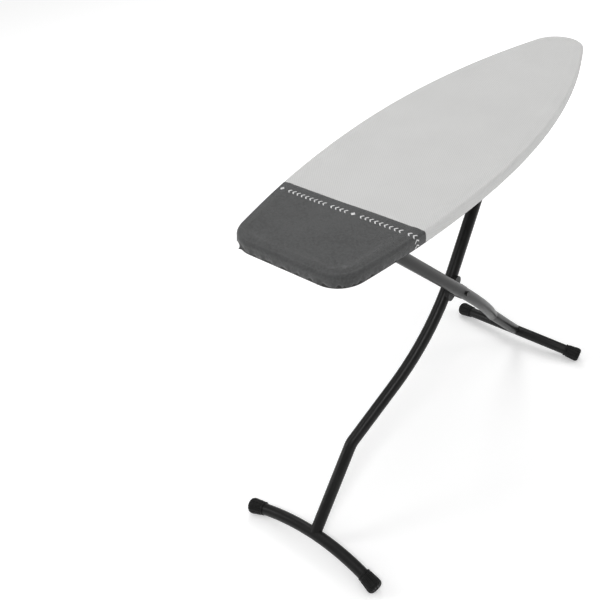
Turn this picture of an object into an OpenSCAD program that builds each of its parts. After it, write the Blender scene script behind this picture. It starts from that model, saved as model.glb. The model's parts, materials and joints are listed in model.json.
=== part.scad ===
// Folding ironing board with two bent single-tube legs, T feet and a heat-safe parking zone.
// Millimetres, +Z up, +X towards the nose of the board. The origin is on the floor,
// midway along the whole length and midway between the two leg planes.

/* [Board] */
// Length of the board from square end to nose
board_l = 1350; // [1200:10:1450]
// Greatest width of the board
board_w = 450; // [400:5:480]
// Height of the ironing surface with the legs fully open
work_h = 1020; // [980:5:1040]
// Thickness of the padded board at its edge
board_t = 35; // [33:1:40]
// Distance from the square end to the widest point
widest_x = 553; // [500:5:600]
// Radius of the long side curves behind the widest point
rear_side_r = 2450; // [2300:10:2700]
// Radius of the long side curves in front of the widest point
front_side_r = 1940; // [1850:10:2050]
// Corner radius at the square end
corner_r = 75; // [60:1:90]
// Length of the heat-resistant parking zone
parking_l = 246; // [180:1:300]
// Sideways distance from the middle of the frame to the middle of the board
board_dy = 27; // [15:1:30]
// Distance along the board from the middle of the frame to the middle of the board
board_dx = 35; // [30:1:40]

/* [Board layers] */
// Thickness of the fabric cover
cover_t = 1.5; // [1:0.1:2]
// Thickness of the felt pad under the cover
pad_t = 8; // [5:0.5:10]
// Thickness of the steel steam plate
plate_t = 1; // [0.8:0.1:2]
// Width of the rim frame measured from the board's edge
rim_w = 16; // [14:1:18]
// Thickness of the rim's steel
rim_t = 1.5; // [1.2:0.1:2]
// Width of the hem that is turned under the board
hem_w = 30; // [24:1:32]
// Diameter of a steam hole
steam_hole_d = 16; // [10:1:20]
// Distance between steam holes
steam_pitch = 48; // [44:2:80]

/* [Legs] */
// Outside diameter of the leg and foot tubes
tube_d = 35; // [30:1:36]
// Wall thickness of the tubes
tube_wall = 1.5; // [1.2:0.1:2]
// Distance between the middle planes of the two legs
leg_gap = 46; // [46:1:50]
// Slope of the upper part of each leg, degrees above level
leg_slope = 46.56; // [46:0.01:47]
// Height of the crossing pivot above the floor
pivot_z = 579; // [577:1:581]
// Position of the crossing pivot along the board, from the middle of the frame
pivot_x = -59; // [-61:1:-57]
// Height of the top hinge and of the slide axle
hinge_z = 950; // [948:1:952]
// Sideways jog of the square-end leg between its two lower bends
jog_a = -70; // [-72:1:-66]
// How far that leg comes back sideways between the upper bend and its top
return_a = 55; // [50:1:58]
// Sideways jog of the nose-end leg between its two lower bends
jog_b = -65; // [-68:1:-60]
// How far that leg comes back sideways between the upper bend and its top
return_b = 33; // [28:1:40]
// Height of the knee of the leg that stands under the square end
knee_a_z = 256; // [250:1:260]
// Distance along the board from the pivot to that knee
knee_a_dx = -412; // [-420:1:-405]
// Height of the knee of the leg that stands under the nose
knee_b_z = 250; // [245:1:255]
// Distance along the board from the pivot to that knee
knee_b_dx = 303; // [298:1:308]
// Height of the second bend of the square-end leg
bend_a_z = 475; // [465:1:485]
// Height of the second bend of the nose-end leg
bend_b_z = 453; // [445:1:460]
// Bend radius at the knee
knee_r = 70; // [55:5:90]
// Radius of the square-end leg's long second bend
bend_a_r = 1100; // [600:10:1300]
// Radius of the nose-end leg's long second bend
bend_b_r = 1400; // [600:10:1500]

/* [Feet] */
// Distance between the middles of the two floor contacts of one foot
foot_span = 442; // [420:2:460]
// How far the foot bar arches up along its leg
foot_rise = 30; // [24:1:34]
// Slope of the foot arch plane and of the leg's lowest stretch, degrees above level
stem_slope = 46; // [44:0.5:48]
// Position of the square-end foot from the middle of the frame
foot_a_x = -686; // [-690:1:-684]
// Position of the nose-end foot from the middle of the frame
foot_b_x = 452; // [448:1:456]
// Radius of the rounded end of a foot cap
cap_r = 24; // [22:0.5:26]
// Radius of the collar of a foot cap
cap_collar_r = 20; // [19:0.5:21]
// Length of the cap over the tube
cap_l = 38; // [34:1:50]

/* [Hub and slide] */
// Length of the saddle blocks between the legs at the crossing
hub_l = 76; // [66:1:84]
// Width of the saddle blocks
hub_w = 38; // [37:0.5:42]
// Diameter of the pivot bolt
bolt_d = 10; // [8:1:12]
// Diameter of the hinge pin and the slide axle
axle_d = 8; // [8:1:9]
// Length of the sleeve across the top of each leg
sleeve_l = 36; // [34:1:38]
// Half the distance between the open sides of the slide rails
rail_mouth = 32; // [31.5:0.5:34]
// Outside height of a slide rail
rail_h = 16; // [15:1:17]
// Wall thickness of a slide rail
rail_t = 1.6; // [1.2:0.1:2]
// Outside depth of a slide rail
rail_depth = 9.5; // [9:0.5:10]

/* [Hidden] */

$fn = 48;
eps = 0.01;
fit = 0.05;
slack = 0.3;
bend_swell = 0.08;

// Levels of the board's layers, from the top down
pad_top = work_h - cover_t;
plate_top = pad_top - pad_t;
frame_top = plate_top - plate_t;
board_bottom = work_h - board_t;
rim_bottom = board_bottom + cover_t + slack;
square_x = board_dx - board_l / 2;

// Board outline, measured from the middle of the square end
side_y = board_w / 2;
reach = board_l - widest_x;
nose_r = (pow(front_side_r, 2) - pow(front_side_r - side_y, 2) - reach * reach)
    / (2 * (front_side_r - reach));
nose_x = board_l - nose_r;
nose_angle = asin((nose_x - widest_x) / (front_side_r - nose_r));
corner_angle = asin((widest_x - corner_r) / (rear_side_r - corner_r));
corner_y = (rear_side_r - corner_r) * cos(corner_angle) - (rear_side_r - side_y);
arc_steps = 14;

function arc(cx, cy, r, from, to) =
    [for (i = [0 : arc_steps]) let (a = from + (to - from) * i / arc_steps) [cx + r * cos(a), cy + r * sin(a)]];

// One side of the outline from the square end to the nose, moved in by inset
function half_outline(inset) = concat(
    arc(corner_r, corner_y, corner_r - inset, 180, 90 + corner_angle),
    arc(widest_x, side_y - rear_side_r, rear_side_r - inset, 90 + corner_angle, 90),
    arc(widest_x, side_y - front_side_r, front_side_r - inset, 90, 90 - nose_angle),
    arc(nose_x, 0, nose_r - inset, 90 - nose_angle, 0));

function other_side(points) = [for (i = [len(points) - 2 : -1 : 0]) [points[i][0], -points[i][1]]];

// Half width of the board at distance x from the square end, ahead of the widest point
function half_width(x) = side_y - front_side_r + sqrt(pow(front_side_r, 2) - pow(x - widest_x, 2));

// Leg lines. Leg A stands under the square end, leg B under the nose.
rise = hinge_z - pivot_z;
arm_dx = rise / tan(leg_slope);
leg_a_y = leg_gap / 2;
leg_b_y = -leg_gap / 2;
bend_a_dx = (pivot_z - bend_a_z) / tan(leg_slope);
bend_b_dx = (pivot_z - bend_b_z) / tan(leg_slope);
contact_z = cap_r - 0.6;
arch_top_z = contact_z + foot_rise * sin(stem_slope);
arch_dx = foot_rise * cos(stem_slope);
hinge_x = pivot_x - arm_dx;
slide_x = pivot_x + arm_dx;
rail_y = leg_a_y + jog_a + return_a;
hinge_y = leg_b_y + jog_b + return_b;
pivot_a_y = leg_a_y + jog_a + return_a * (pivot_z - bend_a_z) / (hinge_z - bend_a_z);
pivot_b_y = leg_b_y + jog_b + return_b * (pivot_z - bend_b_z) / (hinge_z - bend_b_z);
pivot_mid_y = (pivot_a_y + pivot_b_y) / 2;

leg_a_points = [[foot_a_x + arch_dx, leg_a_y, arch_top_z],
    [pivot_x + knee_a_dx, leg_a_y, knee_a_z],
    [pivot_x - bend_a_dx, leg_a_y + jog_a, bend_a_z],
    [slide_x, rail_y, hinge_z]];
leg_b_points = [[foot_b_x - arch_dx, leg_b_y, arch_top_z],
    [pivot_x + knee_b_dx, leg_b_y, knee_b_z],
    [pivot_x + bend_b_dx, leg_b_y + jog_b, bend_b_z],
    [hinge_x, hinge_y, hinge_z]];
bends_a = [knee_r, bend_a_r];
bends_b = [knee_r, bend_b_r];

// Under-board frame
rail_outer = rail_mouth + rail_depth;
rail_start = slide_x - 42;
rail_end = square_x + 1272;
nose_member_x = rail_end - 60;
rail_member_x = rail_start + 18;
centre_member_x = -95;
member_w = 30;
web_t = 2;
member_h = frame_top - (rim_bottom + 2);
web_z = frame_top - web_t;
bracket_t = 3;
latch_x = centre_member_x;
latch_z = hinge_z + 19;
latch_y = rail_y + sleeve_l / 2 + 2;
latch_t = 2.5;
latch_end = slide_x + 230;
notch_pitch = 34;
notch_count = 6;
notch_w = axle_d + 1.6;
steel = "#2b2b2d";

function unit(v) = v / norm(v);

// Turns local X, Y, Z into the given directions and moves the origin to at
module place(x, y, z, at) {
    multmatrix([[x[0], y[0], z[0], at[0]],
        [x[1], y[1], z[1], at[1]],
        [x[2], y[2], z[2], at[2]],
        [0, 0, 0, 1]]) children();
}

// A straight rod from a to b
module rod(a, b, r) {
    d = unit(b - a);
    side = unit(abs(d[1]) < 0.9 ? cross([0, 1, 0], d) : cross([1, 0, 0], d));
    place(side, cross(d, side), d, a) cylinder(r = r, h = norm(b - a));
}

// Unit directions, turn angle and tangent length at corner i of a path
function turn_of(p, i) = acos(unit(p[i] - p[i - 1]) * unit(p[i + 1] - p[i]));
function cut_of(p, i, bends) = i == 0 || i == len(p) - 1 ? 0 : bends[i - 1] * tan(turn_of(p, i) / 2);

// A tube or rod that follows straight stretches with round bends between them.
// The bends are formed a hair wider, so that each straight end sits inside its bend.
module bent_rod(p, bends, r, extra = 0) {
    lap = 1;
    for (i = [0 : len(p) - 2]) {
        d = unit(p[i + 1] - p[i]);
        start_extra = i == 0 ? extra : lap;
        end_extra = i == len(p) - 2 ? extra : lap;
        rod(p[i] + d * (cut_of(p, i, bends) - start_extra),
            p[i + 1] - d * (cut_of(p, i + 1, bends) - end_extra), r);
    }
    for (i = [1 : len(p) - 2]) {
        d1 = unit(p[i] - p[i - 1]);
        n = unit(cross(d1, unit(p[i + 1] - p[i])));
        out = cross(d1, n);
        start = p[i] - d1 * cut_of(p, i, bends);
        place(out, d1, n, start - out * bends[i - 1])
            rotate_extrude(angle = turn_of(p, i), $fn = 96) translate([bends[i - 1], 0])
                circle(r = r + bend_swell, $fn = 32);
    }
}

// A slab of the board's outline, moved in by inset
module slab(inset, bottom, top) {
    points = half_outline(inset);
    translate([square_x, board_dy, bottom])
        linear_extrude(top - bottom) polygon(concat(points, other_side(points)));
}

// The whole fabric shell: top, skirt and turned-under hem
module cover_shell() {
    difference() {
        slab(0, board_bottom, work_h);
        slab(cover_t, board_bottom + cover_t, pad_top);
        slab(hem_w, board_bottom - 1, board_bottom + cover_t + 1);
    }
}

module parking_half_space() {
    translate([square_x - 5, board_dy - board_w, board_bottom - 5])
        cube([parking_l + 5, 2 * board_w, board_t + 10]);
}

module cover_light() {
    color("#cfcfcd") difference() {
        cover_shell();
        parking_half_space();
    }
}

module cover_parking() {
    color("#555758") intersection() {
        cover_shell();
        parking_half_space();
    }
}

// Elastic cord in the inner edge of the hem
module hem_elastic() {
    cord_w = 3;
    color("#d6d6d2") difference() {
        slab(hem_w, board_bottom, board_bottom + cord_w);
        slab(hem_w + cord_w, board_bottom - 1, board_bottom + cord_w + 1);
    }
}

module felt_pad() {
    color("#d9d6cc") slab(cover_t + slack, plate_top, pad_top);
}

module steam_plate() {
    columns = floor((board_l / 2 - 60) / steam_pitch);
    rows = 3;
    color("#9a9c9f") difference() {
        slab(cover_t + slack, frame_top, plate_top);
        for (i = [-columns : columns], j = [-rows : rows])
            if (abs(j) * steam_pitch < (i * steam_pitch < 0 ? side_y - 62 : half_width(i * steam_pitch + board_l / 2) - 42))
                translate([board_dx + i * steam_pitch, board_dy + j * steam_pitch, frame_top - 1])
                    cylinder(d = steam_hole_d, h = plate_t + 2);
    }
}

// Edge strip with a flange turned inwards at the bottom
module board_rim() {
    color(steel) difference() {
        slab(cover_t + slack, rim_bottom, frame_top);
        slab(cover_t + slack + rim_t, rim_bottom + rim_t, frame_top + 1);
        slab(rim_w, rim_bottom - 1, frame_top + 1);
    }
}

// Downward-open channel from rim to rim across the board
module cross_member(x) {
    inner = web_t;
    color(steel) intersection() {
        slab(cover_t + slack + rim_t, frame_top - member_h, frame_top);
        difference() {
            translate([x - member_w / 2, board_dy - board_w / 2, frame_top - member_h])
                cube([member_w, board_w, member_h]);
            translate([x - member_w / 2 + inner, board_dy - board_w, frame_top - member_h - 1])
                cube([member_w - 2 * inner, 2 * board_w, member_h + 1 - web_t]);
        }
    }
}

module hinge_cross_member() { cross_member(hinge_x); }
module centre_cross_member() { cross_member(centre_member_x); }
module rail_cross_member() { cross_member(rail_member_x); }
module nose_cross_member() { cross_member(nose_member_x); }

// Channel open towards the leg; side is 1 or -1
module slide_rail(side) {
    low = hinge_z - rail_h / 2;
    outer_y = rail_y + side * (rail_mouth + rail_depth / 2);
    color(steel) difference() {
        translate([rail_start, outer_y - rail_depth / 2, low])
            cube([rail_end - rail_start, rail_depth, rail_h]);
        translate([rail_start + rail_t, outer_y - rail_depth / 2 - side * rail_t, low + rail_t])
            cube([rail_end - rail_start - 2 * rail_t, rail_depth, rail_h - 2 * rail_t]);
    }
}

module slide_rail_left() { slide_rail(1); }
module slide_rail_right() { slide_rail(-1); }

// Plates that hang the rails from the two cross members at their ends
module rail_hangers() {
    hanger_l = 24;
    hanger_w = 6;
    bottom = hinge_z + rail_h / 2;
    color(steel) for (x = [rail_member_x, nose_member_x], side = [-1, 1])
        translate([x - hanger_l / 2, rail_y + side * (rail_outer - 5) - hanger_w / 2, bottom])
            cube([hanger_l, hanger_w, web_z - bottom]);
}

// Fork that holds the hinge pin of leg B
module hinge_bracket() {
    width = 25;
    top = web_z;
    inner = sleeve_l / 2 + 2;
    color(steel) difference() {
        union() {
            for (side = [-1, 1])
                translate([hinge_x, hinge_y + side * (inner + bracket_t / 2), hinge_z]) {
                    rotate([90, 0, 0]) cylinder(d = width, h = bracket_t, center = true);
                    translate([-width / 2, -bracket_t / 2, 0]) cube([width, bracket_t, top - hinge_z]);
                }
            translate([hinge_x - width / 2, hinge_y - inner - bracket_t, top - bracket_t])
                cube([width, 2 * (inner + bracket_t), bracket_t]);
        }
        translate([hinge_x, hinge_y, hinge_z]) rotate([90, 0, 0])
            cylinder(r = axle_d / 2 + fit, h = board_w, center = true);
    }
}

module hinge_pin() {
    half = sleeve_l / 2 + 2 + bracket_t;
    head_r = axle_d / 2 + 3;
    head_t = 2.5;
    color("#8c8f92") translate([hinge_x, hinge_y, hinge_z]) rotate([90, 0, 0]) {
        cylinder(d = axle_d, h = 2 * half + 2 * eps, center = true);
        for (side = [-1, 1])
            translate([0, 0, side * (half + head_t / 2 + slack / 2)])
                cylinder(r = head_r, h = head_t + slack / 2, center = true);
    }
}

// Two small ears under the centre cross member for the height latch
module latch_bracket() {
    top = web_z;
    width = 20;
    ear_gap = latch_t / 2 + 0.6;
    color(steel) difference() {
        union() {
            for (side = [-1, 1])
                translate([latch_x, latch_y + side * (ear_gap + bracket_t / 2), latch_z]) {
                    rotate([90, 0, 0]) cylinder(d = width, h = bracket_t, center = true);
                    translate([-width / 2, -bracket_t / 2, 0]) cube([width, bracket_t, top - latch_z]);
                }
        }
        translate([latch_x, latch_y, latch_z]) rotate([90, 0, 0])
            cylinder(r = axle_d / 2 + fit, h = board_w, center = true);
    }
}

module latch_pin() {
    half = latch_t / 2 + 0.6 + bracket_t;
    color("#8c8f92") translate([latch_x, latch_y, latch_z]) rotate([90, 0, 0]) {
        cylinder(d = axle_d, h = 2 * half + 2 * eps, center = true);
        for (side = [-1, 1])
            translate([0, 0, side * (half + 1.4)]) cylinder(d = axle_d + 5, h = 2.5, center = true);
    }
}

// Long bar whose notches drop over the slide axle; drawn lifted clear of it
module latch_bar() {
    low = hinge_z + axle_d / 2 + 2;
    high = low + 25;
    tab_z = high - latch_t;
    color("#6f7276") difference() {
        union() {
            translate([latch_x, latch_y, latch_z]) rotate([90, 0, 0])
                cylinder(r = 9, h = latch_t, center = true);
            translate([latch_x, latch_y - latch_t / 2, latch_z - 7])
                cube([slide_x - 40 - latch_x, latch_t, 16]);
            translate([slide_x - 60, latch_y - latch_t / 2, low])
                cube([latch_end - slide_x + 60, latch_t, high - low]);
            translate([latch_end - 44, latch_y - latch_t / 2, tab_z])
                cube([36, rail_outer - 14, latch_t]);
        }
        translate([latch_x, latch_y, latch_z]) rotate([90, 0, 0])
            cylinder(r = axle_d / 2 + fit, h = board_w, center = true);
        for (i = [0 : notch_count - 1])
            translate([slide_x + i * notch_pitch - notch_w / 2, latch_y - latch_t, low - 1])
                cube([notch_w, 2 * latch_t, 13]);
    }
}

// Finger pad on the end of the latch bar
module latch_paddle() {
    pad_l = 60;
    pad_w = 34;
    pad_h = 14;
    low = hinge_z + axle_d / 2 + 2 + 25 - latch_t - pad_h;
    near_y = latch_y - latch_t / 2 + rail_outer - 14;
    color("#3a3b3d") translate([latch_end - 56, near_y, low]) difference() {
        cube([pad_l, pad_w, pad_h + latch_t]);
        for (i = [0 : 5])
            translate([12 + i * 7, pad_w / 2, 0]) rotate([90, 0, 0])
                cylinder(r = 1.8, h = pad_w + 2, center = true, $fn = 24);
    }
}

// Rivet heads inside the cross members, where they hold the steam plate
module frame_rivets() {
    head_r = 4;
    head_h = 2;
    color("#8c8f92") for (x = [hinge_x, centre_member_x, rail_member_x, nose_member_x], side = [-1, 1])
        translate([x, board_dy + side * (x == nose_member_x ? 76 : 120), web_z - head_h])
            cylinder(r = head_r, h = head_h);
}

// Arched foot bar; dir is 1 when the leg rises towards +X
module arch(foot_x, mid_y, dir, r, trim) {
    half = foot_span / 2;
    radius = (half * half + foot_rise * foot_rise) / (2 * foot_rise);
    up = [dir * cos(stem_slope), 0, sin(stem_slope)];
    sweep = 2 * asin(half / radius) - 2 * trim;
    centre = [foot_x, mid_y, contact_z] - up * (radius - foot_rise);
    place(up, [0, 1, 0], cross(up, [0, 1, 0]), centre) rotate([0, 0, -sweep / 2])
        rotate_extrude(angle = sweep, $fn = 360) translate([radius, 0]) circle(r = r, $fn = 32);
}

module foot_bar(foot_x, mid_y, dir) {
    color(steel) difference() {
        arch(foot_x, mid_y, dir, tube_d / 2, 0);
        arch(foot_x, mid_y, dir, tube_d / 2 - tube_wall, -1);
    }
}

// Moulded cap over one end of a foot bar; side is 1 or -1
module foot_cap(foot_x, mid_y, dir, side) {
    half = foot_span / 2;
    radius = (half * half + foot_rise * foot_rise) / (2 * foot_rise);
    end_angle = asin(half / radius);
    up = [dir * cos(stem_slope), 0, sin(stem_slope)];
    end = [foot_x, mid_y + side * half, contact_z];
    out = [0, side * cos(end_angle), 0] - up * sin(end_angle);
    across = cross(out, up) / norm(cross(out, up));
    color("#1f1f20") difference() {
        place(across, cross(out, across), out, end) rotate_extrude()
            polygon(concat([[0, 1], [tube_d / 2, 1], [tube_d / 2 + fit, -cap_l], [cap_collar_r, -cap_l],
                [cap_collar_r, -cap_l + 6], [cap_collar_r - 0.8, -cap_l + 8], [cap_r - 1.5, -8]],
                [for (a = [-8 : 6 : 34]) [cap_r * cos(a), cap_r * sin(a)]],
                [[cap_r * cos(34) - 3, cap_r * sin(34) + 1.2], [0, cap_r * sin(34) + 1.2]]));
        translate([foot_x - cap_r * 2, mid_y - board_w, -cap_r]) cube([cap_r * 4, 2 * board_w, cap_r]);
        arch(foot_x, mid_y, dir, tube_d / 2 + fit, 0);
    }
}

module leg_tube(points, bends, foot_x, mid_y, dir, pivot_y, top_y) {
    top = points[len(points) - 1];
    color(steel) difference() {
        bent_rod(points, bends, tube_d / 2);
        bent_rod(points, bends, tube_d / 2 - tube_wall, 2);
        arch(foot_x, mid_y, dir, tube_d / 2, 0);
        translate([pivot_x, pivot_y, pivot_z]) rotate([90, 0, 0])
            cylinder(r = bolt_d / 2 + fit, h = tube_d * 2, center = true);
        translate([top[0], top_y, top[2]]) rotate([90, 0, 0])
            cylinder(r = tube_d / 2 - 4, h = tube_d * 2, center = true);
    }
}

// Bored sleeve across the top of a leg
module leg_sleeve(at) {
    color(steel) translate(at) rotate([90, 0, 0]) difference() {
        cylinder(r = tube_d / 2 - 4, h = sleeve_l, center = true);
        cylinder(r = axle_d / 2 + fit, h = sleeve_l + 2, center = true);
    }
}

// How far a leg's centre line lies inside its last corner's straight line, at distance s from that corner
function sag_of(s, t, r) = s < t ? pow(t - s, 2) / (2 * r) : 0;

// Straight rod that takes in the gentle curve of a leg where it passes the hub
module leg_at_hub(points, bends, r) {
    before = unit(points[2] - points[1]);
    along = unit(points[3] - points[2]);
    inward = unit(along * (before * along) - before);
    t = cut_of(points, 2, bends);
    s = (pivot_z - points[2][2]) / along[2];
    low = points[2] + along * (s - hub_l / 2) + inward * sag_of(s - hub_l / 2, t, bends[1]);
    high = points[2] + along * (s + hub_l / 2) + inward * sag_of(s + hub_l / 2, t, bends[1]);
    rod(low - unit(high - low) * 12, high + unit(high - low) * 12, r);
}

// Moulded block between a leg and the middle of the hub, long ways along its leg; side is 1 for leg A
module hub_saddle(points, bends, pivot_y, side) {
    depth = abs(pivot_y - pivot_mid_y);
    r = hub_w / 2;
    room = 0.7;
    reach = hub_l / 2 - r;
    color("#232324") difference() {
        translate([pivot_x, pivot_mid_y + side * (slack + depth / 2), pivot_z])
            rotate([90, -side * leg_slope, 0]) {
            for (end = [-1, 1]) translate([end * reach, 0, 0]) cylinder(r = r, h = depth, center = true);
            cube([2 * reach, hub_w - 0.6, depth], center = true);
        }
        leg_at_hub(points, bends, tube_d / 2 + room);
        translate([pivot_x, pivot_mid_y, pivot_z]) rotate([90, 0, 0])
            cylinder(r = bolt_d / 2 + fit, h = tube_d * 4, center = true);
    }
}

bolt_low = pivot_b_y - tube_d / 2 - 1;
bolt_high = pivot_a_y + tube_d / 2 + 9.2;

module pivot_bolt() {
    color(steel) {
        translate([pivot_x, bolt_high, pivot_z]) rotate([90, 0, 0]) cylinder(d = bolt_d, h = bolt_high - bolt_low);
        translate([pivot_x, bolt_low, pivot_z]) rotate([90, 0, 0]) cylinder(d = bolt_d + 8, h = 3);
    }
}

module pivot_nut() {
    near = pivot_a_y + tube_d / 2 + 2.2;
    color(steel) translate([pivot_x, near + 6, pivot_z]) rotate([90, 0, 0]) difference() {
        cylinder(d = bolt_d + 8, h = 6, $fn = 6);
        translate([0, 0, -1]) cylinder(r = bolt_d / 2 + fit, h = 8);
    }
}

module leg_b_tube() { leg_tube(leg_b_points, bends_b, foot_b_x, leg_b_y, -1, pivot_b_y, hinge_y); }
module leg_a_tube() { leg_tube(leg_a_points, bends_a, foot_a_x, leg_a_y, 1, pivot_a_y, rail_y); }
module leg_b_sleeve() { leg_sleeve([hinge_x, hinge_y, hinge_z]); }
module leg_a_sleeve() { leg_sleeve([slide_x, rail_y, hinge_z]); }
module foot_bar_b() { foot_bar(foot_b_x, leg_b_y, -1); }
module foot_bar_a() { foot_bar(foot_a_x, leg_a_y, 1); }
module foot_cap_b_left() { foot_cap(foot_b_x, leg_b_y, -1, 1); }
module foot_cap_b_right() { foot_cap(foot_b_x, leg_b_y, -1, -1); }
module foot_cap_a_left() { foot_cap(foot_a_x, leg_a_y, 1, 1); }
module foot_cap_a_right() { foot_cap(foot_a_x, leg_a_y, 1, -1); }
module hub_saddle_b() { hub_saddle(leg_b_points, bends_b, pivot_b_y, -1); }
module hub_saddle_a() { hub_saddle(leg_a_points, bends_a, pivot_a_y, 1); }

module slide_axle() {
    color("#8c8f92") translate([slide_x, rail_y, hinge_z]) rotate([90, 0, 0])
        cylinder(d = axle_d, h = 2 * (rail_outer - rail_t - 1.5), center = true);
}

// Plastic shoe that runs inside one slide rail
module slide_shoe(side) {
    shoe_l = 34;
    shoe_h = rail_h - 2 * rail_t - 0.8;
    shoe_w = rail_depth - rail_t - 1;
    mid_y = rail_y + side * (rail_mouth + 0.5 + shoe_w / 2);
    color("#d8d8d4") translate([slide_x, mid_y, hinge_z]) difference() {
        cube([shoe_l, shoe_w, shoe_h], center = true);
        rotate([90, 0, 0]) cylinder(r = axle_d / 2 + fit, h = shoe_w + 2, center = true);
    }
}

module slide_shoe_left() { slide_shoe(1); }
module slide_shoe_right() { slide_shoe(-1); }

cover_light();
cover_parking();
hem_elastic();
felt_pad();
steam_plate();
board_rim();
hinge_cross_member();
centre_cross_member();
rail_cross_member();
nose_cross_member();
slide_rail_left();
slide_rail_right();
rail_hangers();
hinge_bracket();
hinge_pin();
latch_bracket();
latch_pin();
latch_bar();
latch_paddle();
frame_rivets();
leg_b_tube();
leg_b_sleeve();
foot_bar_b();
foot_cap_b_left();
foot_cap_b_right();
hub_saddle_b();
pivot_bolt();
pivot_nut();
leg_a_tube();
leg_a_sleeve();
foot_bar_a();
foot_cap_a_left();
foot_cap_a_right();
hub_saddle_a();
slide_axle();
slide_shoe_left();
slide_shoe_right();
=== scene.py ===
"""Looks of the folding ironing board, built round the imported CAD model. Metres, +Z up, +X to the nose."""
import json
import math

import bmesh
import bpy
import numpy as np
from mathutils import Matrix, Vector
from mathutils.bvhtree import BVHTree
from mathutils.geometry import delaunay_2d_cdt


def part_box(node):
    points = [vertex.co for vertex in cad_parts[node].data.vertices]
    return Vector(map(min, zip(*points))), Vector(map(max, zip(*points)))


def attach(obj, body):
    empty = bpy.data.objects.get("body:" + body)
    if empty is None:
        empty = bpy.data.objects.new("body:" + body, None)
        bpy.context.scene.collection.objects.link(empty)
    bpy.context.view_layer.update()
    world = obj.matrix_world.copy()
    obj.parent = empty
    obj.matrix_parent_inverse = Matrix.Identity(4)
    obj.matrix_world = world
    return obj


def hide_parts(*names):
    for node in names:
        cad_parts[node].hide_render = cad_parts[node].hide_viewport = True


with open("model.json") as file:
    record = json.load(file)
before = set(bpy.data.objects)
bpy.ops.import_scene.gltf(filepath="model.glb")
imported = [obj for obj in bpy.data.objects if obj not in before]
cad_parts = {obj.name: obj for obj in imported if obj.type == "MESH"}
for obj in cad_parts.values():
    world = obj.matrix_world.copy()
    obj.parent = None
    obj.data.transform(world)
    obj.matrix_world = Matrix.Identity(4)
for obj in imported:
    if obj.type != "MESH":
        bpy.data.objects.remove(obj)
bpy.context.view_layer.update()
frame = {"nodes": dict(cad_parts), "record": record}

# ---------------------------------------------------------------- places taken from the CAD model
dark_lo, dark_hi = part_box("cover_parking")
light_lo, light_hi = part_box("cover_light")
X0, X1 = dark_lo.x, light_hi.x
SEAM_X = dark_hi.x
YC = (light_lo.y + light_hi.y) / 2
TOP, BOTTOM = light_hi.z, light_lo.z
SIDE = (light_hi.y - light_lo.y) / 2

# Board outline, the same arcs as the CAD model's
LENGTH = X1 - X0
WIDEST = 0.553  # from the square end to the widest place
R_REAR, R_FRONT, R_CORNER = 2.45, 1.94, 0.075
REACH = LENGTH - WIDEST
R_NOSE = (R_FRONT**2 - (R_FRONT - SIDE) ** 2 - REACH**2) / (2 * (R_FRONT - REACH))
NOSE_X = LENGTH - R_NOSE
NOSE_ANGLE = math.asin((NOSE_X - WIDEST) / (R_FRONT - R_NOSE))
CORNER_ANGLE = math.asin((WIDEST - R_CORNER) / (R_REAR - R_CORNER))
CORNER_Y = (R_REAR - R_CORNER) * math.cos(CORNER_ANGLE) - (R_REAR - SIDE)
STEP = 0.0028  # between the points round the board

# The cover in section, from the flat top over the rolled edge and down the side band to the hem
MARGIN = (0.030, 0.024, 0.019, 0.015, 0.012)  # insets of the rows on the flat top
DIP = 0.0012  # drop from the flat top to the rolled edge
ROLL, ROLL_SQUARE = 0.0065, 0.003  # radius of the rolled edge, and what the square end adds to it
BAND_IN = 0.0003  # inset of the side band
BOW = 0.0009  # how far the band bulges in its middle
TUCK = 0.0055  # radius where the band turns under
HEM_IN, HEM = 0.0058, 0.030  # insets where the hem starts and ends
HEM_SLOPE = 0.0006  # how much higher the hem ends than it starts
TOP_SAG = 0.0009  # how far the middle of the top lies below its highest line
CLOTH_T = 0.0011


def arc_points(cx, cy, r, a0, a1):
    n = max(2, int(round(abs(a1 - a0) * r / STEP)))
    angles = np.linspace(a0, a1, n + 1)[:-1]
    return [(cx + r * math.cos(a), cy + r * math.sin(a), math.cos(a), math.sin(a)) for a in angles]


def board_loop():
    """Points and outward normals round the board, from the middle of the square end by the left side."""
    half = math.pi / 2
    n_end = int(round(CORNER_Y / STEP))
    side = [(0.0, y, -1.0, 0.0) for y in np.linspace(0, CORNER_Y, n_end + 1)[:-1]]
    side += arc_points(R_CORNER, CORNER_Y, R_CORNER, math.pi, half + CORNER_ANGLE)
    side += arc_points(WIDEST, SIDE - R_REAR, R_REAR, half + CORNER_ANGLE, half)
    side += arc_points(WIDEST, SIDE - R_FRONT, R_FRONT, half, half - NOSE_ANGLE)
    side += arc_points(NOSE_X, 0.0, R_NOSE, half - NOSE_ANGLE, 0.0)
    other_side = [(x, -y, nx, -ny) for x, y, nx, ny in side[:0:-1]]
    full = np.array(side + [(LENGTH, 0.0, 1.0, 0.0)] + other_side)
    full[:, 0] += X0
    full[:, 1] += YC
    return full


LOOP = board_loop()
SEG = np.linalg.norm(np.roll(LOOP[:, :2], -1, 0) - LOOP[:, :2], axis=1)
ARC = np.concatenate([[0], np.cumsum(SEG)[:-1]])
PERIMETER = SEG.sum()


def half_width(x):
    """Half the board's width x metres from the square end."""
    x = np.asarray(x, float)
    rear = np.sqrt(np.maximum(R_REAR**2 - (x - WIDEST) ** 2, 0)) - R_REAR + SIDE
    front = np.sqrt(np.maximum(R_FRONT**2 - (x - WIDEST) ** 2, 0)) - R_FRONT + SIDE
    corner = CORNER_Y + np.sqrt(np.maximum(R_CORNER**2 - (R_CORNER - x) ** 2, 0))
    nose = np.sqrt(np.maximum(R_NOSE**2 - (x - NOSE_X) ** 2, 0))
    w = np.where(x < WIDEST, rear, front)
    w = np.where(x < R_CORNER, np.minimum(w, corner), w)
    return np.where(x > NOSE_X, np.minimum(w, nose), w)


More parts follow.
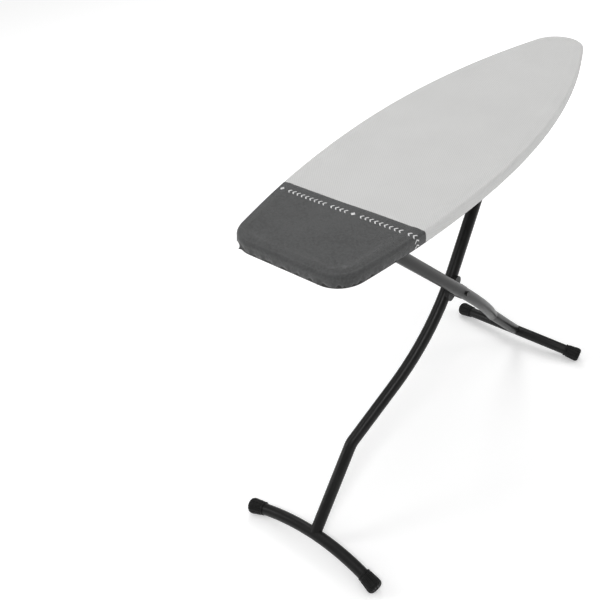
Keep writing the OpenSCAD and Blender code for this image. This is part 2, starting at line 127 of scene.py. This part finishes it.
def smooth(t, a, b):
    """0 up to a, 1 from b on, and an S curve between."""
    t = np.clip((np.asarray(t, float) - a) / (b - a), 0, 1)
    return t * t * (3 - 2 * t)


def square_end(x):
    """1 near the square end, falling to 0 just past the seam."""
    return smooth(-x, -SEAM_X - 0.05, -X0 - 0.05)


def ring_noise(wave, seed):
    """Smooth noise round the board, bumps about wave metres apart, between -1 and 1, closed on itself."""
    r = np.random.RandomState(seed)
    n = int(PERIMETER / wave)
    t = np.sort((np.arange(n) + r.uniform(-0.33, 0.33, n)) / n * PERIMETER)
    v = r.uniform(0.45, 1.0, n) * np.where(np.arange(n) % 2, 1, -1)
    t3 = np.concatenate([t - PERIMETER, t, t + PERIMETER])
    v3 = np.tile(v, 3)
    i = np.searchsorted(t3, ARC) - 1
    u = (ARC - t3[i]) / (t3[i + 1] - t3[i])
    u = u * u * (3 - 2 * u)
    return v3[i] * (1 - u) + v3[i + 1] * u


# ---------------------------------------------------------------- meshes
def new_object(name, verts, faces, smooth_faces=True):
    mesh = bpy.data.meshes.new(name)
    mesh.from_pydata([tuple(p) for p in verts], [], [tuple(int(i) for i in f) for f in faces])
    mesh.validate()
    if smooth_faces:
        mesh.polygons.foreach_set("use_smooth", [True] * len(mesh.polygons))
    obj = bpy.data.objects.new(name, mesh)
    bpy.context.scene.collection.objects.link(obj)
    return obj


def ring_faces(rings, n, closed=False):
    """Faces between rings of n points each. Where closed, the last ring joins the first."""
    faces = []
    for k in range(rings if closed else rings - 1):
        after = (k + 1) % rings
        for i in range(n):
            j = (i + 1) % n
            faces.append((k * n + i, after * n + i, after * n + j, k * n + j))
    return faces


def face_outward(obj):
    bm = bmesh.new()
    bm.from_mesh(obj.data)
    bmesh.ops.recalc_face_normals(bm, faces=bm.faces)
    bm.to_mesh(obj.data)
    bm.free()


def thicken(obj, thickness):
    thick = obj.modifiers.new("thickness", "SOLIDIFY")
    thick.thickness, thick.offset = thickness, -1


def finish_piece(obj, body, replaces=()):
    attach(obj, body)
    if replaces:
        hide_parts(*replaces)


# ---------------------------------------------------------------- cover
def edge_rows(square):
    """The cover's rows from the flat top to the hem's edge. Each is its inset from the board's edge, its drop
    below the top, its share of the gathers and its place across the cloth, 0 at the board's edge."""
    ones = np.ones(len(LOOP))
    roll = ROLL + ROLL_SQUARE * square
    band_top, band_low = DIP + roll, (TOP - BOTTOM) - TUCK
    rows = [(inset * ones, DIP * smooth(-inset, -0.024, -0.010) * ones, 0.0, -inset) for inset in MARGIN]
    for a in np.linspace(0, math.pi / 2, 8):
        drop = DIP + roll * (1 - math.cos(a))
        rows.append((roll * (1 - math.sin(a)), drop, 0.02 * (a / 1.6) ** 2, a * 0.008 - 0.008))
    for k in np.linspace(0.12, 1, 8):
        bow = BOW * math.sin(math.pi * k)
        drop = band_top + (band_low - band_top) * k
        rows.append(((BAND_IN - bow) * ones, drop, 0.03 + 0.55 * k**2.2, 0.005 + k * 0.022))
    for a in np.linspace(0.25, math.pi / 2, 6):
        inset = (BAND_IN + TUCK * (1 - math.cos(a))) * ones
        rows.append((inset, band_low + TUCK * math.sin(a), 0.62 + 0.38 * a / 1.6, 0.027 + a * 0.0055))
    for k in np.linspace(0.12, 1, 8):
        inset = (HEM_IN + (HEM - HEM_IN) * k) * ones
        rows.append((inset, (TOP - BOTTOM) - HEM_SLOPE * k, 1.0, 0.036 + k * 0.024))
    return rows


def fill_top(ring, first_new):
    """Points and faces that fill the flat top inside ring, in a grid that is finer at the seam. The new
    points are numbered from first_new."""
    n = len(ring)
    inner, grid = 0.036, 0.011
    seam_steps = np.array([-0.004, -0.0018, -0.0008, 0, 0.0008, 0.0018, 0.004])
    xs = np.arange(X0 + inner, X1 - inner, grid)
    xs = np.concatenate([xs[np.abs(xs - SEAM_X) > 0.007], SEAM_X + seam_steps])
    xs = np.unique(np.round(xs, 5))
    points = []
    for x, h in zip(xs, half_width(xs - X0) - inner):
        if h > 0.004:
            across = max(1, int(h / grid))
            points.append((x, YC))
            for q in range(1, across + 1):
                points += [(x, YC + side * h / across * q) for side in (-1, 1)]
    flat = [Vector((p[0], p[1])) for p in ring] + [Vector(p) for p in points]
    edges = [(i, (i + 1) % n) for i in range(n)]
    out, _, faces, origins, _, _ = delaunay_2d_cdt(flat, edges, [], 1, 1e-6)
    index, new = [], []
    for point, origin in zip(out, origins):
        on_ring = [q for q in origin if q < n]
        if on_ring:
            index.append(on_ring[0])
        else:
            index.append(first_new + len(new))
            new.append(tuple(point))
    return np.array(new), [tuple(index[i] for i in f) for f in faces]


def cover_mesh():
    """The cover as one surface with its gathers: points, cloth coordinates, faces and the hem's edge."""
    square = square_end(LOOP[:, 0])
    from_corner = np.abs(LOOP[:, 1] - YC) - CORNER_Y - 0.02
    corner = np.exp(-(from_corner**2) / 0.045**2) * smooth(-LOOP[:, 0], -X0 - 0.11, -X0 - 0.03)
    nose = smooth(LOOP[:, 0], X1 - 0.12, X1 - 0.02)
    fine, coarse, slow = ring_noise(0.0085, 3), ring_noise(0.019, 4), ring_noise(0.07, 5)
    gather = fine * (0.35 + 0.65 * square + 0.5 * nose) + coarse * (0.25 + 0.9 * square + 0.9 * corner)
    amp_out = 0.0011 + 0.0025 * square + 0.0014 * corner + 0.0008 * nose
    amp_up = 0.0011 + 0.0036 * square + 0.0014 * corner
    verts, cloth = [], []
    for inset, drop, share, across in edge_rows(square):
        low = smooth(drop, 0.020, 0.034)  # 1 on the lower part of the band and on the hem
        inward = inset > 0.008
        on_hem = inward & (low > 0.5)
        out = share * (1 - 0.75 * inward) * gather * amp_out - 0.0012 * share * low * square
        lift = share * low * (0.5 + 0.5 * gather) * amp_up
        lift = np.where(on_hem, lift * (0.6 + 0.6 * smooth(inset, 0.006, 0.028)), lift)
        sag = -0.0012 * share * low * (0.4 + 0.6 * square) * (1 + slow) * 0.5
        d = inset - out
        x = LOOP[:, 0] - LOOP[:, 2] * d
        y = LOOP[:, 1] - LOOP[:, 3] * d
        z = TOP - drop + np.where(low > 0, lift, 0) + np.where(on_hem, 0, sag)
        verts.append(np.stack([x, y, z], 1))
        cloth.append(np.stack([LOOP[:, 0] + LOOP[:, 2] * across, LOOP[:, 1] + LOOP[:, 3] * across, ARC], 1))
    faces = ring_faces(len(verts), len(LOOP))
    top, top_faces = fill_top(verts[0], len(verts) * len(LOOP))
    wave = np.sin(top[:, 0] * 23 + 1.3 * np.sin(top[:, 1] * 17)) + np.sin(top[:, 1] * 31 + top[:, 0] * 9)
    v = np.concatenate(verts + [np.column_stack([top, TOP - TOP_SAG + 0.00035 * wave])])
    c = np.concatenate(cloth + [np.column_stack([top, np.zeros(len(top))])])
    # The seam between the two fabrics sits a little lower
    groove = np.exp(-(((v[:, 0] - SEAM_X) / 0.0016) ** 2)) * (v[:, 2] > TOP - 0.004)
    v[:, 2] -= 0.0009 * groove
    return v, c, faces + top_faces, verts[-1]


def split_cover(name, v, c, faces, keep_dark):
    """The part of the cover on one side of the seam, with its cloth coordinates."""
    obj = new_object(name, v, faces)
    bm = bmesh.new()
    bm.from_mesh(obj.data)
    layer = bm.verts.layers.float_vector.new("cloth")
    bm.verts.ensure_lookup_table()
    for i, vert in enumerate(bm.verts):
        vert[layer] = c[i]
    bmesh.ops.bisect_plane(bm, geom=bm.verts[:] + bm.edges[:] + bm.faces[:], plane_co=(SEAM_X, 0, 0),
                           plane_no=(1, 0, 0), clear_outer=keep_dark, clear_inner=not keep_dark, dist=1e-5)
    bmesh.ops.recalc_face_normals(bm, faces=bm.faces)
    highest = max(bm.faces, key=lambda f: f.calc_center_median().z)
    if highest.normal.z < 0:
        bmesh.ops.reverse_faces(bm, faces=bm.faces)
    bm.to_mesh(obj.data)
    bm.free()
    obj.data.update()
    thicken(obj, CLOTH_T)
    return obj


cover_v, cover_c, cover_f, hem_edge = cover_mesh()
cover_dark = split_cover("cover_parking_cloth", cover_v, cover_c, cover_f, True)
cover_pale = split_cover("cover_light_cloth", cover_v, cover_c, cover_f, False)


# ---------------------------------------------------------------- materials
class Nodes:
    """A short way to write a material's nodes."""

    def __init__(self, name):
        self.mat = bpy.data.materials.new(name)
        self.mat.use_nodes = True
        self.tree = self.mat.node_tree
        self.shader = self.tree.nodes["Principled BSDF"]

    def feed(self, socket, value):
        """Link a socket to another node's output, or give it a value."""
        if isinstance(value, bpy.types.NodeSocket):
            self.tree.links.new(value, socket)
        else:
            socket.default_value = value

    def add(self, kind, **settings):
        """A new node. i0, i1 and so on are sockets by number, capitalised names are sockets by name, and the
        rest are the node's own properties."""
        node = self.tree.nodes.new(kind)
        for key, value in settings.items():
            if key[0] == "i" and key[1:].isdigit():
                self.feed(node.inputs[int(key[1:])], value)
            elif key[0].isupper():
                self.feed(node.inputs[key.replace("_", " ")], value)
            else:
                setattr(node, key, value)
        return node

    def math(self, op, a, b=0.0):
        return self.add("ShaderNodeMath", operation=op, i0=a, i1=b).outputs[0]

    def noise(self, vector, scale, detail=3.0, rough=0.5):
        node = self.add("ShaderNodeTexNoise", Vector=vector, Scale=scale, Detail=detail, Roughness=rough)
        return node.outputs["Fac"]

    def mix(self, factor, a, b):
        return self.add("ShaderNodeMix", data_type="RGBA", i0=factor, i6=a, i7=b).outputs[2]

    def span(self, value, low, high, to_low, to_high):
        return self.add("ShaderNodeMapRange", i0=value, i1=low, i2=high, i3=to_low, i4=to_high).outputs[0]

    def bump(self, height, distance, strength):
        return self.add("ShaderNodeBump", Height=height, Distance=distance, Strength=strength).outputs[0]

    def place(self):
        return self.add("ShaderNodeTexCoord").outputs["Object"]

    def cloth(self):
        """The cloth coordinates: X and Y along the fabric, and the way round the board."""
        vector = self.add("ShaderNodeAttribute", attribute_name="cloth").outputs["Vector"]
        return self.add("ShaderNodeSeparateXYZ", Vector=vector).outputs[:3]

    def set(self, **sockets):
        for key, value in sockets.items():
            self.feed(self.shader.inputs[key.replace("_", " ")], value)
        return self.mat


def grey(v, tint=(1.0, 1.0, 1.0)):
    return (v * tint[0], v * tint[1], v * tint[2], 1.0)


def weave_height(n, u, v, pitch):
    """A plain weave: threads over and under along u and v."""
    a = n.math("SINE", n.math("MULTIPLY", u, 2 * math.pi / pitch))
    b = n.math("SINE", n.math("MULTIPLY", v, 2 * math.pi / pitch))
    return n.math("MULTIPLY", a, b)


def pale_fabric():
    n = Nodes("cover_fabric_light")
    x, y, _ = n.cloth()
    # Small oval dots on a diagonal lattice
    pitch = 0.0052
    p = n.math("DIVIDE", n.math("ADD", x, y), pitch)
    q = n.math("DIVIDE", n.math("SUBTRACT", x, y), pitch * 1.25)
    from_p = n.math("MULTIPLY", n.math("SUBTRACT", n.math("FRACT", p), 0.5), 1.15)
    from_q = n.math("MULTIPLY", n.math("SUBTRACT", n.math("FRACT", q), 0.5), 1.9)
    d = n.math("SQRT", n.math("ADD", n.math("POWER", from_p, 2.0), n.math("POWER", from_q, 2.0)))
    dot = n.span(d, 0.20, 0.36, 1.0, 0.0)
    thread = weave_height(n, x, y, 0.0011)
    fuzz = n.noise(n.place(), 900.0, 3.0)
    broad = n.noise(n.place(), 9.0, 3.0)
    warm = (1, 0.998, 0.985)
    tone = n.mix(n.span(broad, 0.35, 0.65, 0.0, 1.0), grey(0.560, warm), grey(0.580, warm))
    tone = n.mix(n.math("MULTIPLY", dot, 0.75), tone, grey(0.36))
    tone = n.mix(n.span(fuzz, 0.35, 0.75, 0.0, 0.14), tone, grey(0.40))
    height = n.math("ADD", n.math("MULTIPLY", thread, 0.25), n.math("MULTIPLY", fuzz, 0.5))
    height = n.math("ADD", n.math("MULTIPLY", dot, -0.7), height)
    return n.set(Base_Color=tone, Roughness=n.span(fuzz, 0.3, 0.7, 0.80, 0.95),
                 Normal=n.bump(height, 0.0003, 0.5), Sheen_Weight=0.15, Sheen_Roughness=0.5)


def dark_fabric():
    n = Nodes("cover_fabric_parking")
    x, y, _ = n.cloth()
    thread = weave_height(n, n.math("ADD", x, n.math("MULTIPLY", y, 0.5)), y, 0.0012)
    fuzz = n.noise(n.place(), 1100.0, 3.0)
    mottle = n.noise(n.place(), 190.0, 4.0, 0.6)
    broad = n.noise(n.place(), 14.0, 3.0)
    cool = (0.98, 1.0, 1.01)
    tone = n.mix(n.span(mottle, 0.38, 0.62, 0.0, 1.0), grey(0.032, cool), grey(0.056, cool))
    tone = n.mix(n.span(broad, 0.35, 0.65, 0.0, 0.35), tone, grey(0.062, cool))
    tone = n.mix(n.span(fuzz, 0.45, 0.75, 0.0, 0.40), tone, grey(0.092))
    # A row of stitches beside the seam
    from_seam = n.math("SUBTRACT", SEAM_X - 0.0045, x)
    row = n.math("LESS_THAN", n.math("ABSOLUTE", from_seam), 0.0005)
    dash = n.math("LESS_THAN", n.math("FRACT", n.math("DIVIDE", y, 0.0032)), 0.68)
    stitch = n.math("MULTIPLY", row, dash)
    tone = n.mix(n.math("MULTIPLY", stitch, 0.6), tone, grey(0.04))
    height = n.math("ADD", fuzz, n.math("MULTIPLY", stitch, -1.2))
    height = n.math("ADD", n.math("MULTIPLY", thread, 0.5), height)
    return n.set(Base_Color=tone, Roughness=n.span(fuzz, 0.3, 0.7, 0.78, 0.94),
                 Normal=n.bump(height, 0.00035, 0.55), Sheen_Weight=0.2, Sheen_Roughness=0.45)


def powder_coat(name, tone, rough, gloss_level):
    n = Nodes(name)
    where = n.place()
    fine = n.noise(where, 1400.0, 2.0)
    soft = n.noise(where, 22.0, 4.0, 0.6)
    scuff = n.noise(where, 140.0, 5.0, 0.7)
    colour = n.mix(n.span(soft, 0.35, 0.65, 0.0, 1.0), grey(tone), grey(tone * 1.25, (1.0, 1.0, 0.97)))
    colour = n.mix(n.span(scuff, 0.66, 0.78, 0.0, 0.25), colour, grey(tone * 3.2))
    base_rough = n.span(soft, 0.3, 0.7, rough - 0.035, rough + 0.035)
    return n.set(Base_Color=colour, Roughness=n.math("ADD", base_rough, n.span(scuff, 0.62, 0.8, 0.0, 0.12)),
                 Normal=n.bump(fine, 0.00006, 0.5), Specular_IOR_Level=gloss_level)


def moulded(name, tone, rough, tint=(1, 1, 1), gloss_level=0.5):
    n = Nodes(name)
    where = n.place()
    grain = n.noise(where, 1600.0, 2.0)
    soft = n.noise(where, 45.0, 3.0)
    colour = n.mix(n.span(soft, 0.35, 0.65, 0.0, 1.0), grey(tone, tint), grey(tone * 1.3, tint))
    return n.set(Base_Color=colour, Roughness=n.span(grain, 0.3, 0.7, rough - 0.05, rough + 0.08),
                 Normal=n.bump(grain, 0.00012, 0.6), Specular_IOR_Level=gloss_level)


def zinc():
    n = Nodes("zinc_steel")
    where = n.place()
    stretched = n.add("ShaderNodeMapping", Vector=where, Scale=(900.0, 60.0, 900.0)).outputs[0]
    streak = n.noise(stretched, 1.0, 3.0)
    soft = n.noise(where, 60.0, 4.0)
    colour = n.mix(n.span(soft, 0.35, 0.65, 0.0, 1.0), grey(0.40), grey(0.52, (0.98, 1.0, 1.03)))
    return n.set(Base_Color=colour, Metallic=1.0, Roughness=n.span(streak, 0.3, 0.7, 0.28, 0.42),
                 Normal=n.bump(streak, 0.00003, 0.4))


def felt():
    n = Nodes("felt")
    fibre = n.noise(n.place(), 700.0, 5.0, 0.7)
    tones = grey(0.50, (1, 0.97, 0.90)), grey(0.66, (1, 0.98, 0.93))
    colour = n.mix(n.span(fibre, 0.3, 0.7, 0.0, 1.0), *tones)
    return n.set(Base_Color=colour, Roughness=0.95, Normal=n.bump(fibre, 0.0006, 0.6), Sheen_Weight=0.2)


def elastic():
    n = Nodes("elastic")
    _, _, arc = n.cloth()
    rib = n.math("SINE", n.math("MULTIPLY", arc, 2 * math.pi / 0.0018))
    # Painted shade: the colour follows the ribs, lighter on their crests and darker in the grooves between
    # them
    colour = n.mix(n.span(rib, -1.0, 1.0, 0.0, 1.0), grey(0.52), grey(0.68))
    return n.set(Base_Color=colour, Roughness=0.85, Normal=n.bump(rib, 0.0003, 0.6), Sheen_Weight=0.1)


def woven_white():
    n = Nodes("woven_white")
    fuzz = n.noise(n.place(), 1400.0, 3.0)
    colour = n.mix(n.span(fuzz, 0.3, 0.75, 0.0, 1.0), grey(0.70), grey(0.52))
    return n.set(Base_Color=colour, Roughness=0.8, Normal=n.bump(fuzz, 0.0002, 0.6))


def floor_material():
    """Pale floor that glows more with distance, so that near shadows show and the far floor stays white."""
    n = Nodes("floor")
    far = n.add("ShaderNodeVectorMath", operation="LENGTH", i0=n.place()).outputs["Value"]
    return n.set(Base_Color=grey(0.90), Roughness=0.9, Specular_IOR_Level=0.1, Emission_Color=(1, 1, 1, 1),
                 Emission_Strength=n.span(far, 0.7, 2.6, 0.28, 0.62))


CAP = moulded("cap_rubber", 0.0055, 0.46, gloss_level=0.18)
SLOT_MATERIAL = {
    "frame_steel": powder_coat("frame_powder_coat", 0.012, 0.46, 0.25),
    "black_tube": powder_coat("black_powder_coat", 0.012, 0.34, 0.19),
    "zinc_steel": zinc(),
    "cap_rubber": CAP,
    "black_plastic": moulded("black_plastic", 0.010, 0.42, gloss_level=0.25),
    "shoe_plastic": moulded("shoe_plastic", 0.62, 0.40, (1, 0.99, 0.95)),
}
for part in frame["record"]["subparts"]:
    if part["material_slot"] in SLOT_MATERIAL:
        mesh = frame["nodes"][part["node"]].data
        mesh.materials.clear()
        mesh.materials.append(SLOT_MATERIAL[part["material_slot"]])


cover_pale.data.materials.append(pale_fabric())
cover_dark.data.materials.append(dark_fabric())
finish_piece(cover_pale, "board", ["cover_light"])
finish_piece(cover_dark, "board", ["cover_parking"])


# ---------------------------------------------------------------- felt, elastic and woven marks
def felt_pad():
    top, bottom = TOP - 0.0030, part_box("felt_pad")[0].z
    gap = 0.0026  # from the cover's outline to the felt's edge
    levels = [(gap + 0.012, top), (gap + 0.004, top - 0.0002), (gap + 0.0012, top - 0.0010),
              (gap, top - 0.0026), (gap, bottom + 0.0016), (gap + 0.0010, bottom + 0.0004),
              (gap + 0.004, bottom)]
    ring = LOOP[::3]
    n = len(ring)
    verts = [(x - nx * d, y - ny * d, z) for d, z in levels for x, y, nx, ny in ring]
    faces = ring_faces(len(levels), n)
    faces.append(tuple(range(n)))
    faces.append(tuple(range(len(verts) - 1, len(verts) - n - 1, -1)))
    obj = new_object("felt_layer", verts, faces)
    face_outward(obj)
    obj.data.materials.append(felt())
    finish_piece(obj, "board", ["felt_pad"])


def hem_elastic():
    """The elastic in the hem, which follows the gathered inner edge."""
    radius, sides = 0.0017, 8
    verts, arcs = [], []
    pick = range(0, len(LOOP) - len(LOOP) % 2, 2)
    for i in pick:
        squeeze = 1 + 0.12 * math.sin(ARC[i] / 0.004)
        for k in range(sides):
            a = 2 * math.pi * k / sides
            inward = radius * (0.7 + math.cos(a) * squeeze)
            verts.append((hem_edge[i, 0] - LOOP[i, 2] * inward, hem_edge[i, 1] - LOOP[i, 3] * inward,
                          hem_edge[i, 2] + 0.0006 + radius * math.sin(a) * squeeze))
            arcs.append((0, 0, ARC[i]))
    obj = new_object("hem_elastic_cord", verts, ring_faces(len(pick), sides, closed=True))
    layer = obj.data.attributes.new("cloth", "FLOAT_VECTOR", "POINT")
    layer.data.foreach_set("vector", np.array(arcs, np.float32).ravel())
    obj.data.materials.append(elastic())
    finish_piece(obj, "board", ["hem_elastic"])


def on_cover(x, w):
    """Where a point w metres from the middle line, measured along the cloth, lies on the cover at x."""
    h = float(half_width(x - X0))
    r = ROLL + ROLL_SQUARE * float(square_end(x))
    s, side = abs(w), 1 if w >= 0 else -1
    start = h - r
    if s <= start:
        inset = h - s
        drop = DIP * float(smooth(-inset, -0.024, -0.010))
    elif s <= start + r * math.pi / 2:
        a = (s - start) / r
        inset, drop = r * (1 - math.sin(a)), DIP + r * (1 - math.cos(a))
    else:
        inset, drop = 0.0, DIP + r + (s - start - r * math.pi / 2)
    return Vector((x, YC + side * (h - inset), TOP - drop))


def surface_of(obj):
    bm = bmesh.new()
    bm.from_mesh(obj.data)
    tree = BVHTree.FromBMesh(bm)
    bm.free()
    return tree


MARK_X = SEAM_X - 0.029  # middle of the row of marks
MARK_TALL = 0.0128
MARK_MIDDLE = -0.030  # where the middle diamond lies across the board
PERIOD = 0.214  # from one diamond to the next
DIAMOND = 0.0062  # half a diamond's width
CHEVRON_STROKE, CHEVRON_LEAN, CHEVRON_PITCH = 0.0038, 0.0052, 0.0132


def peak(s):
    """1 in the middle of a mark's height and 0 at its ends."""
    return 1 - abs(2 * s - 1)


def diamond(s):
    return -DIAMOND * peak(s) - 0.0001, DIAMOND * peak(s) + 0.0001


def chevron(s):
    return CHEVRON_LEAN * peak(s), CHEVRON_LEAN * peak(s) + CHEVRON_STROKE


def woven_marks():
    """A row of plain chevrons and diamonds along the parking zone's edge."""
    surface = surface_of(cover_dark)
    verts, faces = [], []
    steps, across = 10, 3

    def mark(centre, shape):
        """One mark, laid on the cover. shape gives its left and right edge at each share of its height."""
        base = len(verts)
        row = across + 1
        for k in range(steps + 1):
            s = k / steps
            left, right = shape(s)
            for m in range(row):
                w = centre + left + (right - left) * m / across
                at = on_cover(MARK_X + (s - 0.5) * MARK_TALL, w)
                near, normal, _, _ = surface.find_nearest(at)
                verts.append(tuple(near + normal * 0.0003))
        for k in range(steps):
            for m in range(across):
                a = base + k * row + m
                faces.append((a, a + row, a + row + 1, a + 1))

    for g in (-1, 0, 1):
        mark(MARK_MIDDLE + g * PERIOD, diamond)
    for start, count in ((0.017, 4), (0.080, 9)):
        for g in (-1, 0):
            for i in range(count):
                mark(MARK_MIDDLE + g * PERIOD + start + i * CHEVRON_PITCH, chevron)
    obj = new_object("woven_marks", verts, faces)
    thicken(obj, 0.00025)
    obj.data.materials.append(woven_white())
    finish_piece(obj, "board")


felt_pad()
hem_elastic()
woven_marks()

# ---------------------------------------------------------------- moulded foot caps
SLOPE = math.radians(46)  # of the arched foot bars' plane
SPAN, RISE = 0.442, 0.030  # of the arch
CONTACT_Z = 0.0234  # height of the arch's ends
ARCH_R = ((SPAN / 2) ** 2 + RISE**2) / (2 * RISE)
END_ANGLE = math.asin(SPAN / 2 / ARCH_R)
RIBS, RIB_DEPTH = 14, 0.0021
POCKETS, POCKET_DEPTH = 9, 0.0042
HUB_DEPTH = 0.0014
FLOOR_GAP = 0.0004  # between the caps and the floor
FACE_Z = 0.0143  # the cap's end face, past the end of the tube

# Rings along the cap: place along the tube from its end, radius, share of the ribs
CAP_SIDE = [
    (-0.0380, 0.0178, 0), (-0.0380, 0.0197, 0), (-0.0372, 0.0204, 0), (-0.0330, 0.0204, 0),
    (-0.0321, 0.0201, 0), (-0.0317, 0.0189, 0), (-0.0302, 0.0189, 0), (-0.0297, 0.0200, 0.1),
    (-0.0285, 0.0208, 0.7), (-0.0240, 0.0213, 1), (-0.0180, 0.0218, 1), (-0.0120, 0.0223, 1),
    (-0.0070, 0.0228, 1), (-0.0030, 0.0233, 1), (0.0015, 0.0236, 1), (0.0050, 0.0234, 1),
    (0.0085, 0.0226, 1), (0.0110, 0.0213, 0.8), (0.0130, 0.0192, 0.4), (0.0140, 0.0174, 0.1),
]
# Radii of the rings on the end face, closer where a pocket or the hub has a wall
CAP_FACE = [0.0168, 0.0162, 0.0158, 0.0150, 0.0135, 0.0120, 0.0105, 0.0097, 0.0092, 0.0080, 0.0062, 0.0056,
            0.0050, 0.0030, 0.0008]


def cap_rings(angles):
    """Rings of a ribbed cap with pockets in its end face, as (place along the tube, radius, angle)."""
    rings = []
    for z, r, ribbed in CAP_SIDE:
        for a in angles:
            groove = 0.5 + 0.5 * math.cos(RIBS * a)
            rings.append((z, r - ribbed * RIB_DEPTH * float(smooth(1 - groove, 0.45, 1.0)), a))
    for r in CAP_FACE:
        in_ring = float(smooth(-r, -0.0162, -0.0157)) * float(smooth(r, 0.0091, 0.0097))
        in_hub = float(smooth(-r, -0.0062, -0.0057))
        for a in angles:
            window = float(smooth(math.cos(POCKETS * a), -0.25, 0.10))
            rings.append((FACE_Z - POCKET_DEPTH * window * in_ring - HUB_DEPTH * in_hub, r, a))
    return rings


def foot_cap(name, node, foot_x, mid_y, lean, side, body):
    """A cap on the end of an arched foot bar. The bar's plane leans towards +X where lean is 1."""
    rise = Vector((lean * math.cos(SLOPE), 0, math.sin(SLOPE)))
    out = Vector((0, side * math.cos(END_ANGLE), 0)) - rise * math.sin(END_ANGLE)
    across = out.cross(rise).normalized()
    third = out.cross(across)
    end = Vector((foot_x, mid_y + side * SPAN / 2, CONTACT_Z))
    turn = 196
    points = []
    for z, r, a in cap_rings([2 * math.pi * k / turn for k in range(turn)]):
        p = end + out * z + across * (r * math.cos(a)) + third * (r * math.sin(a))
        p.z = max(p.z, FLOOR_GAP)
        points.append(tuple(p))
    rings = len(CAP_SIDE) + len(CAP_FACE)
    faces = ring_faces(rings, turn)
    faces.append(tuple((rings - 1) * turn + k for k in range(turn)))
    obj = new_object(name, points, faces)
    face_outward(obj)
    obj.data.materials.append(CAP)
    finish_piece(obj, body, [node])


for leg, foot_x, mid_y, lean in (("a", -0.686, 0.023, 1), ("b", 0.452, -0.023, -1)):
    for where, side in (("left", 1), ("right", -1)):
        foot_cap(f"moulded_cap_{leg}_{where}", f"foot_cap_{leg}_{where}", foot_x, mid_y, lean, side,
                 f"leg_{leg}")

# ---------------------------------------------------------------- camera, lights, floor
AZ, EL, ROLL_ANGLE = 0.7797, 0.6807, -0.1288  # where the camera looks, for the photograph's view
CAMERA_AT = (-1.6017, -0.965, 2.0164)
LENS, SENSOR = 47.7036, 36.0  # millimetres

cam_data = bpy.data.cameras.new("camera")
camera = bpy.data.objects.new("camera", cam_data)
bpy.context.scene.collection.objects.link(camera)
look = Vector((math.cos(EL) * math.cos(AZ), math.cos(EL) * math.sin(AZ), -math.sin(EL)))
right = look.cross(Vector((0, 0, 1))).normalized()
up = right.cross(look)
cam_x = math.cos(ROLL_ANGLE) * right + math.sin(ROLL_ANGLE) * up
cam_y = -math.sin(ROLL_ANGLE) * right + math.cos(ROLL_ANGLE) * up
turned = Matrix((cam_x, cam_y, -look)).transposed().to_4x4()
camera.matrix_world = Matrix.Translation(CAMERA_AT) @ turned
cam_data.sensor_width, cam_data.lens = SENSOR, LENS
cam_data.clip_start, cam_data.clip_end = 0.05, 60
bpy.context.scene.camera = camera
bpy.context.scene.view_settings.view_transform = "Standard"


def area_light(name, at, target, size, power):
    data = bpy.data.lights.new(name, "AREA")
    data.shape, data.size, data.size_y, data.energy = "RECTANGLE", size[0], size[1], power
    obj = bpy.data.objects.new(name, data)
    obj.location = at
    obj.rotation_mode = "QUATERNION"
    obj.rotation_quaternion = (Vector(target) - Vector(at)).to_track_quat("-Z", "Y")
    bpy.context.scene.collection.objects.link(obj)


area_light("overhead", (0.2, 0.1, 4.6), (0.05, 0, 0), (3.6, 3.6), 70)
area_light("back", (2.1, 1.9, 3.1), (0.1, 0, 0.4), (1.7, 1.7), 34)
area_light("key", (-2.3, -1.0, 2.9), (-0.1, 0, 0.5), (0.8, 0.8), 30)
area_light("left_strip", (-2.4, 2.6, 1.9), (0, 0, 0.5), (0.7, 2.6), 34)
area_light("right_strip", (2.2, -2.6, 1.6), (0, 0, 0.4), (0.7, 2.6), 26)

world = bpy.data.worlds.new("studio")
world.use_nodes = True
background = world.node_tree.nodes["Background"]
background.inputs["Color"].default_value = (1, 1, 1, 1)
background.inputs["Strength"].default_value = 0.25
bpy.context.scene.world = world

FLOOR = 30  # half the floor's width
corners = [(-FLOOR, -FLOOR, 0), (FLOOR, -FLOOR, 0), (FLOOR, FLOOR, 0), (-FLOOR, FLOOR, 0)]
floor = new_object("floor", corners, [(0, 1, 2, 3)], False)
floor.data.materials.append(floor_material())
